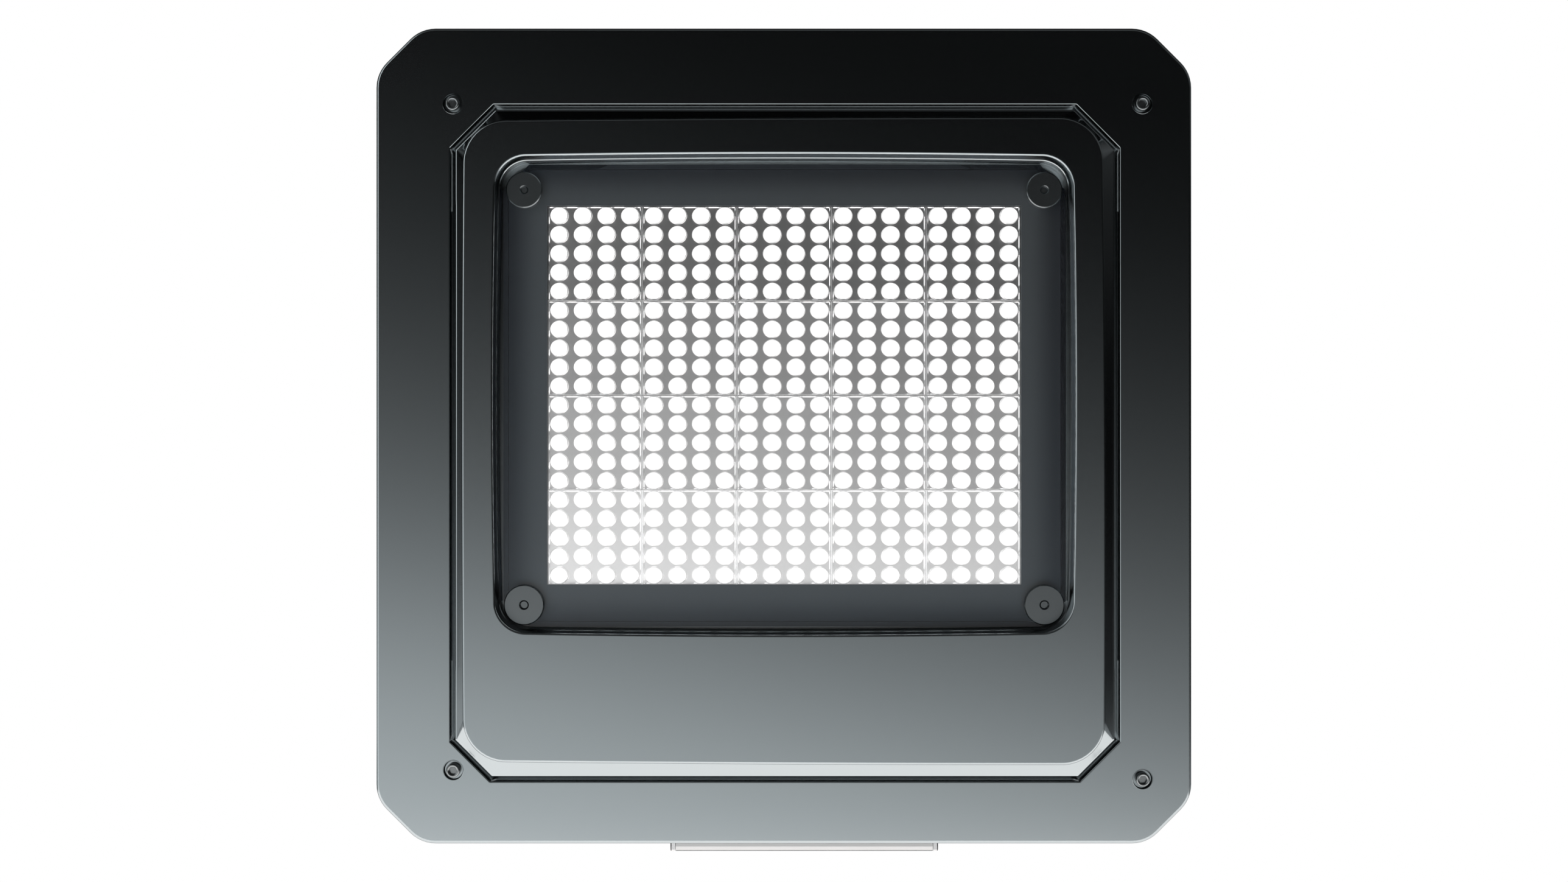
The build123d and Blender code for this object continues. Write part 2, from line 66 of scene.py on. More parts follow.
# Heights that every left and right side has a point at, so the bracket seats keep their ends
seat_heights = [-160.0, -144.5, -141.0, -110.0, -80.0, -50.0, -20.0, 20.0, 50.0, 80.0, 110.0, 141.0,
                144.5, 160.0]

# Plate
plate_side = 500.0
plate_cut, plate_corner = 27.3, 22.0
plate_front, plate_rim_back = -10.0, -0.5
sheet = 2.0
plate_round = 1.5
opening_left, opening_right = -204.7, 206.0
opening_bottom, opening_top = -211.9, 203.2
opening_cut_top, opening_cut_bottom = 26.6, 24.4
opening_round = 0.5
opening_back = 12.0
opening_return = 2.6
vertex_round = 1.2

# Plate screws
screw_places = [(-203.0, 203.7), (219.8, 203.7), (-202.7, -205.0), (220.0, -210.6)]
recess_radius, recess_depth = 5.9, 3.0
collar_width, collar_rise = 0.5, 0.3
cup_radius, screw_hole = 8.0, 2.75
head_radius, head_height = 4.25, 5.0
socket_across, socket_depth = 4.9, 2.6

# Housing
base_gap = 3.3
base_front, skirt_back = -11.2, 22.0
frame_base_front, frame_seat_depth = -9.6, 0.5
bead = 0.9
face_front = -16.0
face_corners = [(-196.15, -199.3), (196.4, -201.0), (195.1, 194.65), (-196.15, 192.95)]
face_corner, face_bows = 26.5, (0.46, 0.85, 0.5, 0.65)
face_round = 1.2
window_corners = [(-176.3, -120.0), (176.5, -120.0), (176.5, 170.8), (-176.3, 170.8)]
window_corner, window_bows = 19.0, (1.4, 1.4, 1.4, 1.4)
window_round = 1.1
window_draft, window_step, window_step_front = 1.6, 0.45, -7.0
pocket_corners = [(-174.3, -118.5), (175.2, -118.5), (175.2, 168.6), (-174.3, 168.6)]
pocket_corner = 16.0
# Depths of the window pocket's front edge and of the ledge that the pane lies on
draft_back, ledge = 0.0, 7.2
seat_half, seat_depth = 141.0, 0.15
# Turn of a round corner that has as many points as an octagon's corner, in degrees
corner_share = 12.0

# Window
array_x, array_z = 0.2, 25.3
clamp_x = 160.4
clamp_front, clamp_back = -3.0, 1.0
# Height, radius and hole radius of the clamps
clamp_upper = (151.7, 11.1, 2.6)
clamp_lower = (-104.2, 12.4, 2.9)
clamp_hole_depth = 1.8

# Lens blocks
blocks_across, blocks_up = 5, 4
lenses_across, lenses_up = 4, 5
lens_pitch_x, lens_pitch_z = 14.73, 11.78
lens_base_x, lens_base_z = 5.8, 5.4
lens_disc_x, lens_disc_z = 5.2, 4.8
lens_front = 7.7
block_front, block_back = 11.5, 13.5
block_gap = 0.3
rim_front, rim_side, rim_end, rim_slope = 10.2, 1.2, 0.95, 0.45
flange_height = 0.6
lens_sides = 32
# Painted light in the clear sheets of each row of blocks, from the top: a glow that grows towards the
# bottom, as the reflected studio does
painted_sheet_glow = (0.012, 0.065, 0.11, 0.21)
mask_lap, mask_opening_reach = 0.35, 3.0
# Painted light on the dark mask: the lenses' glow as emission, its strength at the array's edge and
# how far it fades
painted_mask_glow, painted_mask_glow_reach = 0.028, 24.0
block_width = lenses_across * lens_pitch_x
block_height = lenses_up * lens_pitch_z

# Small fasteners
fastener_sides = 24
cover_back = 60.5
cover_screw_places = [(-189.0, -130.0), (-21.0, -129.0), (146.5, -130.0), (147.0, -176.0),
                      (121.0, -201.0), (-21.0, -201.0), (-163.0, -201.0), (-189.0, -176.0)]
strip_sheet = 1.5
strip_screw_depth, strip_screw_heights = 17.6, (-110.0, -40.0, 40.0, 110.0)
strip_rivet_depth, strip_rivet_heights = 7.4, (-126.0, -63.0, 0.0, 63.0, 126.0)
leaf_back, leaf_rivet_height = -6.5, -232.0
leaf_rivets = (-52.0, -6.0, 34.0, 78.0)
foot_front, foot_rivet_height = -5.5, -227.0
foot_rivets = (-83.5, -74.5, 99.6, 108.6)
ear_left, ear_right, pin_axis = -69.0, 94.1, (-4.4, -252.0)
earth_place = (152.0, 44.0, -138.0)

# Brightness of the studio in front of the face, by height from -1, straight down, to 1
studio_tones = [(-1.0, 2.0), (-0.45, 1.9), (-0.19, 1.28), (-0.1, 0.58), (-0.03, 0.21), (0.05, 0.06),
                (0.13, 0.01), (0.25, 0.005), (0.4, 0.12), (0.7, 0.12), (0.85, 0.0), (1.0, 0.0)]
# How much that height leans to the right, and where the lean begins and is full
studio_slope, slope_range = 0.2, (-0.6, -0.25)
# The lit left side: its brightness, and how far left and forward it begins and is full
left_tone, left_range, left_front_range = 2.0, (-0.36, -0.46), (-0.55, -0.68)
# How far back the white behind the part begins and is full
behind_range = (0.55, 0.85)
# The floor's warm tint in reflections, and how far down it begins and is full
floor_tint, tint_range = (1.0, 0.92, 0.885), (-0.35, -0.65)
# Soft light from all round, and the floor's own light for the camera alone
soft_color, soft_tone = (0.97, 0.985, 1.0), 0.35
floor_lift = 0.3


def line(start, end, count):
    """Points from start towards end, without the end itself."""
    return [
        (start[0] + (end[0] - start[0]) * i / count, start[1] + (end[1] - start[1]) * i / count)
        for i in range(count)
    ]


def arc(centre, radius, start, end, count):
    """Points round a centre from one angle in degrees towards another, without the end."""
    points = []
    for i in range(count):
        turn = math.radians(start + (end - start) * i / count)
        points.append((centre[0] + radius * math.cos(turn), centre[1] + radius * math.sin(turn)))
    return points


def upright(start, end, bulge=0.0, shared=True):
    """Points up or down a side, at the shared heights or even ones, bowed out by a bulge."""
    rising = end[1] > start[1]
    heights = seat_heights if rising else seat_heights[::-1]
    if not shared:
        heights = [z for _, z in line(start, end, len(seat_heights) + 1)][1:]
    middle, half = (start[1] + end[1]) / 2, abs(end[1] - start[1]) / 2
    points = [start]
    for z in heights:
        x = start[0] + (end[0] - start[0]) * (z - start[1]) / (end[1] - start[1])
        points.append((x + bulge * (1 - ((z - middle) / half) ** 2), z))
    return points


def octagon(left, right, bottom, top, cut_bottom, cut_top, radius):
    """A rectangle with cut, slightly rounded corners, from the lower left along the bottom."""
    corners = [
        (left, bottom + cut_bottom), (left + cut_bottom, bottom),
        (right - cut_bottom, bottom), (right, bottom + cut_bottom),
        (right, top - cut_top), (right - cut_top, top),
        (left + cut_top, top), (left, top - cut_top),
    ]
    turns = [180, 225, 270, 315, 0, 45, 90, 135]
    reach = radius * math.tan(math.radians(22.5))
    points = []
    for i, corner in enumerate(corners):
        out = math.radians(turns[i])
        along = (math.cos(out + math.pi / 2), math.sin(out + math.pi / 2))
        start = (corner[0] - along[0] * reach, corner[1] - along[1] * reach)
        centre = (start[0] - radius * math.cos(out), start[1] - radius * math.sin(out))
        points += arc(centre, radius, turns[i], turns[i] + 45, corner_points)
        out_next = math.radians(turns[i] + 45)
        after = (math.cos(out_next + math.pi / 2), math.sin(out_next + math.pi / 2))
        begin = (corner[0] + after[0] * reach, corner[1] + after[1] * reach)
        following = corners[(i + 1) % 8]
        finish = (following[0] - after[0] * reach, following[1] - after[1] * reach)
        if i in (3, 7):
            points += upright(begin, finish)
        else:
            points += line(begin, finish, cut_points if i % 2 == 0 else side_points)
    return points


def bulged(corners, corner, bows, inset=0.0, shared=True):
    """Rounded corners and bowed sides, point for point in step with an octagon."""
    centres = [(x - math.copysign(corner, x), z - math.copysign(corner, z)) for x, z in corners]
    corner = corner - inset
    points = []
    for i, centre in enumerate(centres):
        start, bulge = 180 + 90 * i, bows[i]
        first, last = start + corner_share, start + 90 - corner_share
        points += arc(centre, corner, start, first, corner_points)
        points += arc(centre, corner, first, last, cut_points)
        points += arc(centre, corner, last, start + 90, corner_points)
        out = math.radians(start + 90)
        begin = (centre[0] + corner * math.cos(out), centre[1] + corner * math.sin(out))
        other = centres[(i + 1) % 4]
        finish = (other[0] + corner * math.cos(out), other[1] + corner * math.sin(out))
        if i % 2:
            points += upright(begin, finish, bulge * math.cos(out), shared)
        else:
            for k, (x, z) in enumerate(line(begin, finish, side_points)):
                bow = bulge * (1 - (2 * k / side_points - 1) ** 2)
                points.append((x, z + bow * math.sin(out)))
    return points


def plate_outline(inset):
    """The plate's outer edge, drawn in by an inset."""
    half = plate_side / 2 - inset
    cut = plate_cut - inset * (2 - math.sqrt(2))
    return octagon(-half, half, -half, half, cut, cut, plate_corner - inset)


def opening_outline(grow):
    """The edge of the plate's opening, grown outward or, below zero, drawn in."""
    cut = grow * (2 - math.sqrt(2))
    return octagon(
        opening_left - grow, opening_right + grow, opening_bottom - grow, opening_top + grow,
        opening_cut_bottom + cut, opening_cut_top + cut, vertex_round,
    )


def rounding(radius, steps=4):
    """Inset and depth of each step round an outer edge, from the front to the side."""
    turns = [math.pi / 2 * i / steps for i in range(steps + 1)]
    return [(radius * (1 - math.sin(t)), radius * (1 - math.cos(t))) for t in turns]


def ring(outline, depth):
    """An outline's points at one depth."""
    return [(x, depth, z) for x, z in outline]


def make_mesh(name, points, faces, smooth=sharp_angle):
    """A mesh in metres from points in millimetres, with its normals made consistent."""
    mesh = bpy.data.meshes.new(name)
    mesh.from_pydata([tuple(c * MM for c in p) for p in points], [], faces)
    work = bmesh.new()
    work.from_mesh(mesh)
    bmesh.ops.recalc_face_normals(work, faces=work.faces)
    work.to_mesh(mesh)
    work.free()
    mesh.shade_smooth()
    mesh.set_sharp_from_angle(angle=math.radians(smooth))
    return mesh


def add(name, mesh, material):
    """A new object for a mesh, in one material."""
    piece = bpy.data.objects.new(name, mesh)
    bpy.context.collection.objects.link(piece)
    mesh.materials.append(material)
    return piece


def bridged(rings, closed=False, cap_first=False, cap_last=False):
    """Points and faces of a skin through rings that have the same number of points."""
    count = len(rings[0])
    points = [p for r in rings for p in r]
    faces = []
    last = len(rings) if closed else len(rings) - 1
    for i in range(last):
        a, b = i * count, ((i + 1) % len(rings)) * count
        for k in range(count):
            n = (k + 1) % count
            faces.append((a + k, a + n, b + n, b + k))
    if cap_first:
        faces.append(tuple(range(count)))
    if cap_last:
        faces.append(tuple(range((len(rings) - 1) * count, len(rings) * count)))
    return points, faces


def circle(x, z, radius, depth, count=48, stretch=1.0):
    """A ring of points facing the front, narrower up and down by a stretch."""
    turns = [math.tau * (i + 0.5) / count for i in range(count)]
    return [(x + radius * math.cos(t), depth, z + radius * stretch * math.sin(t)) for t in turns]


def turned(x, z, profile, count=48):
    """A body turned about a line along Y from (radius, depth) steps, capped at both ends."""
    rings = [circle(x, z, radius, depth, count) for radius, depth in profile]
    return bridged(rings, cap_first=True, cap_last=True)


def joined(*skins):
    """Several (points, faces) skins as one."""
    points, faces = [], []
    for more_points, more_faces in skins:
        start = len(points)
        points += more_points
        faces += [tuple(i + start for i in face) for face in more_faces]
    return points, faces


def shader(name, color, roughness, metallic=0.0, **sockets):
    """A principled material, with any other sockets set by name."""
    material = bpy.data.materials.new(name)
    material.use_nodes = True
    node = material.node_tree.nodes["Principled BSDF"]
    node.inputs["Base Color"].default_value = (*color, 1.0)
    node.inputs["Roughness"].default_value = roughness
    node.inputs["Metallic"].default_value = metallic
    for socket, value in sockets.items():
        node.inputs[socket.replace("_", " ")].default_value = value
    return material


def grained(material, scale, roughness_spread, tone_spread=0.0, drawn_out=(1.0, 1.0, 1.0)):
    """Adds a fine grain to a material's roughness and tone, drawn out along some axes."""
    nodes, links = material.node_tree.nodes, material.node_tree.links
    skin = nodes["Principled BSDF"]
    place = nodes.new("ShaderNodeTexCoord")
    along = nodes.new("ShaderNodeVectorMath")
    along.operation = "DIVIDE"
    along.inputs[1].default_value = drawn_out
    grain = nodes.new("ShaderNodeTexNoise")
    grain.inputs["Scale"].default_value = scale
    links.new(place.outputs["Object"], along.inputs[0])
    links.new(along.outputs["Vector"], grain.inputs["Vector"])
    rough = nodes.new("ShaderNodeMapRange")
    middle = skin.inputs["Roughness"].default_value
    rough.inputs["To Min"].default_value = middle - roughness_spread
    rough.inputs["To Max"].default_value = middle + roughness_spread
    links.new(grain.outputs["Fac"], rough.inputs["Value"])
    links.new(rough.outputs["Result"], skin.inputs["Roughness"])
    if tone_spread:
        red, green, blue, _ = skin.inputs["Base Color"].default_value
        tone = nodes.new("ShaderNodeMix")
        tone.data_type = "RGBA"
        for socket, share in (("A", 1 - tone_spread), ("B", 1 + tone_spread)):
            tone.inputs[socket].default_value = (red * share, green * share, blue * share, 1.0)
        links.new(grain.outputs["Fac"], tone.inputs["Factor"])
        links.new(tone.outputs["Result"], skin.inputs["Base Color"])
    return material


def paint(name, color, roughness):
    """Metallic paint with a very fine grain."""
    return grained(shader(name, color, roughness, metallic=1.0), 900.0, 0.02)


def metal(name, color, roughness, scale=400.0, tone_spread=0.1, drawn_out=(1.0, 1.0, 1.0)):
    """Bare or plated metal with a mottled or drawn surface."""
    skin = shader(name, color, roughness, metallic=1.0)
    return grained(skin, scale, roughness * 0.2, tone_spread, drawn_out)


def moulded(name, color, roughness):
    """Moulded plastic or rubber with a fine matt grain."""
    return grained(shader(name, color, roughness), 1400.0, 0.08, 0.08)


def glowing(name, strength, color=(0.8, 0.8, 0.8), roughness=0.3, metallic=0.0):
    """Clear plastic lit from within, by white light; the lens sheets use it for a painted glow as
    well.
    """
    glow = {"Emission_Color": (1.0, 1.0, 1.0, 1.0), "Emission_Strength": strength}
    return shader(name, color, roughness, metallic, **glow)


def painted_glow_mask(name, color, roughness):
    """Dark plastic with a painted glow of the lenses' light on it, as emission that fades away from
    them.
    """
    # The colour of the painted glow of the lenses' light
    painted_light_color = (0.86, 0.97, 1.0, 1.0)
    sheen = {"Specular_IOR_Level": 0.65, "Specular_Tint": (0.47, 0.68, 0.86, 1.0)}
    material = shader(name, color, roughness, Emission_Color=painted_light_color, **sheen)
    nodes, links = material.node_tree.nodes, material.node_tree.links
    place = nodes.new("ShaderNodeTexCoord")
    outside = nodes.new("ShaderNodeVectorMath")
    outside.operation = "SUBTRACT"
    outside.inputs[1].default_value = (array_x * MM, 0, array_z * MM)
    size = nodes.new("ShaderNodeVectorMath")
    size.operation = "ABSOLUTE"
    beyond = nodes.new("ShaderNodeVectorMath")
    beyond.operation = "SUBTRACT"
    beyond.inputs[1].default_value = (
        blocks_across * block_width * MM / 2, 1.0, blocks_up * block_height * MM / 2,
    )
    outer = nodes.new("ShaderNodeVectorMath")
    outer.operation = "MAXIMUM"
    outer.inputs[1].default_value = (0, 0, 0)
    distance = nodes.new("ShaderNodeVectorMath")
    distance.operation = "LENGTH"
    glow = nodes.new("ShaderNodeMapRange")
    glow.interpolation_type = "SMOOTHERSTEP"
    glow.inputs["From Max"].default_value = painted_mask_glow_reach * MM
    glow.inputs["To Min"].default_value = painted_mask_glow
    glow.inputs["To Max"].default_value = 0.0
    links.new(place.outputs["Object"], outside.inputs[0])
    links.new(outside.outputs["Vector"], size.inputs[0])
    links.new(size.outputs["Vector"], beyond.inputs[0])
    links.new(beyond.outputs["Vector"], outer.inputs[0])
    links.new(outer.outputs["Vector"], distance.inputs[0])
    links.new(distance.outputs["Value"], glow.inputs["Value"])
    links.new(glow.outputs["Result"], nodes["Principled BSDF"].inputs["Emission Strength"])
    return material


def clear_glass(name):
    """Clear glass, see-through, with its gloss on the side that faces outward."""
    material = bpy.data.materials.new(name)
    material.use_nodes = True
    nodes, links = material.node_tree.nodes, material.node_tree.links
    nodes.clear()
    out = nodes.new("ShaderNodeOutputMaterial")
    mix = nodes.new("ShaderNodeMixShader")
    fresnel = nodes.new("ShaderNodeFresnel")
    fresnel.inputs["IOR"].default_value = 1.55
    geometry = nodes.new("ShaderNodeNewGeometry")
    outward = nodes.new("ShaderNodeMath")
    outward.operation = "SUBTRACT"
    outward.use_clamp = True
    through = nodes.new("ShaderNodeBsdfTransparent")
    gloss = nodes.new("ShaderNodeBsdfGlossy")
    gloss.inputs["Roughness"].default_value = 0.0
    links.new(fresnel.outputs["Fac"], outward.inputs[0])
    links.new(geometry.outputs["Backfacing"], outward.inputs[1])
    links.new(outward.outputs["Value"], mix.inputs["Fac"])
    links.new(through.outputs["BSDF"], mix.inputs[1])
    links.new(gloss.outputs["BSDF"], mix.inputs[2])
    links.new(mix.outputs["Shader"], out.inputs["Surface"])
    return material


def trim_plate(material):
    """The plate with its rounded edges, folded wall and screw recesses."""
    round_in = rounding(opening_round)
    round_out = rounding(plate_round)
    rings = [
        ring(opening_outline(-opening_return), opening_back),
        ring(opening_outline(-opening_return), opening_back - sheet),
        ring(opening_outline(0), opening_back - sheet),
    ]
    rings += [ring(opening_outline(i), plate_front + d) for i, d in reversed(round_in)]
    rings.append(ring(opening_outline(opening_round + land), plate_front))
    rings.append(ring(plate_outline(plate_round + land), plate_front))
    rings += [ring(plate_outline(i), plate_front + d) for i, d in round_out]
    rings.append(ring(plate_outline(0), plate_rim_back))
    rings.append(ring(plate_outline(sheet), plate_rim_back))
    rings.append(ring(plate_outline(sheet), plate_front + sheet))
    rings.append(ring(opening_outline(sheet), plate_front + sheet))
    rings.append(ring(opening_outline(sheet), opening_back))
    plate = add("plate_skin", make_mesh("plate_skin", *bridged(rings, closed=True)), material)
    bore_radius = recess_radius + collar_width / 2
    bore = [(bore_radius, plate_front - 1.0), (bore_radius, plate_front + sheet + 1.0)]
    for x, z in screw_places:
        cutter = add("recess", make_mesh("recess", *turned(x, z, bore)), material)
        modifier = plate.modifiers.new("recess", "BOOLEAN")
        modifier.operation = "DIFFERENCE"
        modifier.solver = "EXACT"
        modifier.object = cutter
        bpy.context.view_layer.objects.active = plate
        bpy.ops.object.modifier_apply(modifier=modifier.name)
        bpy.data.objects.remove(cutter)
    plate.data.set_sharp_from_angle(angle=math.radians(sharp_angle))
    floor_depth = plate_front + recess_depth
    cup_back = floor_depth + sheet
    collar_radius = recess_radius + collar_width
    cup = [
        (collar_radius, plate_front + 0.1),
        (collar_radius, plate_front - collar_rise * 0.4),
        (recess_radius + collar_width * 0.7, plate_front - collar_rise),
        (recess_radius + collar_width * 0.3, plate_front - collar_rise),
        (recess_radius, plate_front - collar_rise * 0.4),
        (recess_radius, floor_depth - bevel),
        (recess_radius - bevel, floor_depth),
        (screw_hole, floor_depth),
        (screw_hole, cup_back),
        (cup_radius - bevel, cup_back),
        (cup_radius, cup_back - bevel),
        (cup_radius, plate_front + sheet - 0.2),
    ]
    cups = [
        bridged([circle(x, z, radius, depth) for radius, depth in cup]) for x, z in screw_places
    ]
    skin = make_mesh("cups", *joined(*cups))
    return merged(plate, skin)


def merged(piece, mesh):
    """Adds a mesh to a piece, and keeps the piece's own material."""
    mesh.materials.clear()
    mesh.materials.append(piece.data.materials[0])
    other = bpy.data.objects.new("part", mesh)
    bpy.context.collection.objects.link(other)
    bpy.ops.object.select_all(action="DESELECT")
    other.select_set(True)
    piece.select_set(True)
    bpy.context.view_layer.objects.active = piece
    bpy.ops.object.join()
    return piece


def housing(material):
    """Fine front and skirt of the casting, joined to the frame's own back of it."""

    def face(inset):
        return bulged(face_corners, face_corner, face_bows, inset)

    def window(grow):
        return bulged(window_corners, window_corner, window_bows, -grow, shared=False)

    def base(inset):
        points = []
        for x, z in opening_outline(-base_gap - inset):
            in_seat = abs(z) < seat_half + 0.1
            points.append((x - math.copysign(seat_depth, x), z) if in_seat else (x, z))
        return points

    pocket = bulged(pocket_corners, pocket_corner, window_bows, shared=False)
    rings = [
        ring(pocket, ledge),
        ring(pocket, draft_back),
        ring(window(-window_draft), window_step_front + window_step),
        ring(window(window_step - window_draft), window_step_front),
    ]
    for inset, depth in reversed(rounding(window_round)):
        rings.append(ring(window(inset), face_front + depth))
    rings.append(ring(window(window_round + land), face_front))
    rings.append(ring(face(face_round + land), face_front))
    rings += [ring(face(inset), face_front + depth) for inset, depth in rounding(face_round)]
    rings.append(ring(base(bead), base_front))
    rings += [ring(base(inset), base_front + depth) for inset, depth in rounding(bead)]
    rings.append(ring(base(0), skirt_back))
    front = add("housing_skin", make_mesh("housing_skin", *bridged(rings)), material)
    back = frame["nodes"]["housing"].data.copy()
    kept_from = frame_base_front + 0.1
    work = bmesh.new()
    work.from_mesh(back)
    old = []
    for flat in work.faces:
        depths = [v.co.y / MM for v in flat.verts]
        on_pocket = abs(min(depths) - draft_back) < 0.01 and abs(max(depths) - ledge) < 0.01
        if min(depths) < kept_from or on_pocket:
            old.append(flat)
    bmesh.ops.delete(work, geom=old, context="FACES")
    work.to_mesh(back)
    work.free()
    return merged(front, back)


def clamp_pair(name, material, z, radius, hole):
    """Two round clamps with a chamfered edge and a small countersunk hole."""
    edge, mouth, lip, rim_band, foot = 0.6, 0.9, 0.15, 0.3, 0.5
    profile = [
        (hole * 0.75, clamp_front + clamp_hole_depth),
        (hole * 0.75, clamp_front + mouth),
        (hole, clamp_front + lip),
        (hole + lip, clamp_front),
        (radius - edge - rim_band, clamp_front),
        (radius - edge, clamp_front),
        (radius, clamp_front + edge),
        (radius, clamp_back - foot),
        (radius, clamp_back),
    ]
    skins = [turned(x, z, profile) for x in (array_x - clamp_x, array_x + clamp_x)]
    return add(name, make_mesh(name, *joined(*skins)), material)


def screw(radius, height, across, depth, edge, shank_radius, shank):
    """A socket-head screw that faces the front, its head seated at depth 0."""
    taper, flat, chamfer = 0.15, 0.55, 0.25
    profile = [(shank_radius - taper, shank), (shank_radius, 0), (radius, 0)]
    profile += [(radius - inset, step - height) for inset, step in reversed(rounding(edge))]
    profile.append((across / 2 + flat, -height))
    rings = [circle(0, 0, reach, at, fastener_sides) for reach, at in profile]
    rim = rings[-1]
    rings += [hex_ring(rim, across, chamfer - height), hex_ring(rim, across, depth - height)]
    return bridged(rings, cap_first=True, cap_last=True)


def hex_ring(outer, across, depth):
    """The points of a ring about the origin, drawn in to a hexagon."""
    points = []
    for x, _, z in outer:
        turn = math.atan2(z, x)
        sector = turn % (math.pi / 3) - math.pi / 6
        reach = across / 2 / math.cos(sector)
        points.append((reach * math.cos(turn), depth, reach * math.sin(turn)))
    return points


def rivet(radius, height):
    """A domed rivet head that faces the front, seated at depth 0."""
    profile = [
        (radius, 0.2), (radius, -height * 0.25), (radius * 0.85, -height * 0.65),
        (radius * 0.55, -height * 0.93), (radius * 0.2, -height),
    ]
    return turned(0, 0, profile, fastener_sides)


def placed(skin, place, facing=FRONT):
    """A skin drawn facing the front, moved to a place and turned to face another way."""
    turn = Vector(facing).to_track_quat("-Y", "Z")
    return [tuple(turn @ Vector(p) + Vector(place)) for p in skin[0]], skin[1]


def fixings(name, material, body, skin, places, facing=FRONT):
    """The same fastener at several places, as one piece on a body."""
    skins = [placed(skin, place, facing) for place in places]
    piece = add(name, make_mesh(name, *joined(*skins)), material)
    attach(piece, body)


def small_fasteners(steel, zinc, brass, plastic):
    """Screws and rivets of the cover, the side brackets, the hinge and the earth wire."""
    cover_screw = screw(
        radius=3.2, height=2.4, across=2.8, depth=1.6, edge=0.9, shank_radius=1.6, shank=6.0,
    )
    cover_places = [(x, cover_back, z) for x, z in cover_screw_places]
    fixings("cover_screws", steel, "face", cover_screw, cover_places, BACK)
    strip_screw = screw(
        radius=2.8, height=1.8, across=2.4, depth=1.2, edge=0.6, shank_radius=1.4, shank=4.0,
    )
    strip_rivet = rivet(radius=2.3, height=1.1)
    seat_in = base_gap + frame_seat_depth - strip_sheet
    wall_out = sheet + strip_sheet
    for label, facing, seat, wall in (
        ("left", LEFT, opening_left + seat_in, opening_left - wall_out),
        ("right", RIGHT, opening_right - seat_in, opening_right + wall_out),
    ):
        seats = [(seat, strip_screw_depth, z) for z in strip_screw_heights]
        walls = [(wall, strip_rivet_depth, z) for z in strip_rivet_heights]
        fixings(f"bracket_screws_{label}", steel, "face", strip_screw, seats, facing)
        fixings(f"bracket_rivets_{label}", zinc, "face", strip_rivet, walls, facing)
    hinge_rivet = rivet(radius=2.4, height=1.0)
    leaf_places = [(x, leaf_back, leaf_rivet_height) for x in leaf_rivets]
    fixings("leaf_rivets", zinc, "face", hinge_rivet, leaf_places, BACK)
    cap = turned(0, 0, [(3.2, 0), (3.2, -0.5), (2.8, -0.7)], 32)
    fixings("pin_cap_left", plastic, "frame", cap, [(ear_left, *pin_axis)], LEFT)
    fixings("pin_cap_right", plastic, "frame", cap, [(ear_right, *pin_axis)], RIGHT)
    foot_places = [(x, foot_front, foot_rivet_height) for x in foot_rivets]
    fixings("foot_rivets", zinc, "frame", hinge_rivet, foot_places)
    washer_front = -1.1
    washer = turned(0, 0, [(5.0, 0.1), (5.0, -0.9), (4.6, washer_front)], 32)
    earth_head = screw(
        radius=3.6, height=2.6, across=3.0, depth=1.6, edge=0.7, shank_radius=1.9, shank=5.0,
    )
    earth = joined(washer, placed(earth_head, (0, washer_front, 0)))
    fixings("earth_screw", brass, "face", earth, [earth_place], RIGHT)


def plate_screws(material):
    """The four screws in the plate's recesses."""
    seat = plate_front + recess_depth
    skin = screw(head_radius, head_height, socket_across, socket_depth, 0.8, 2.05, -0.3 - seat)
    skins = [placed(skin, (x, seat, z)) for x, z in screw_places]
    return add("screw_skins", make_mesh("screw_skins", *joined(*skins)), material)


def mask_sheet(material):
    """The frame's own mask, with its opening closed in to the edge of the lens blocks."""
    mesh = frame["nodes"]["optic_mask"].data.copy()
    half_x, half_z = blocks_across * block_width / 2, blocks_up * block_height / 2
    for vertex in mesh.vertices:
        x, z = vertex.co.x / MM - array_x, vertex.co.z / MM - array_z
        if abs(x) < half_x + mask_opening_reach and abs(z) < half_z + mask_opening_reach:
            vertex.co.x = (array_x + math.copysign(half_x - mask_lap, x)) * MM
            vertex.co.z = (array_z + math.copysign(half_z - mask_lap, z)) * MM
    mesh.materials.clear()
    return add("mask_sheet", mesh, material)


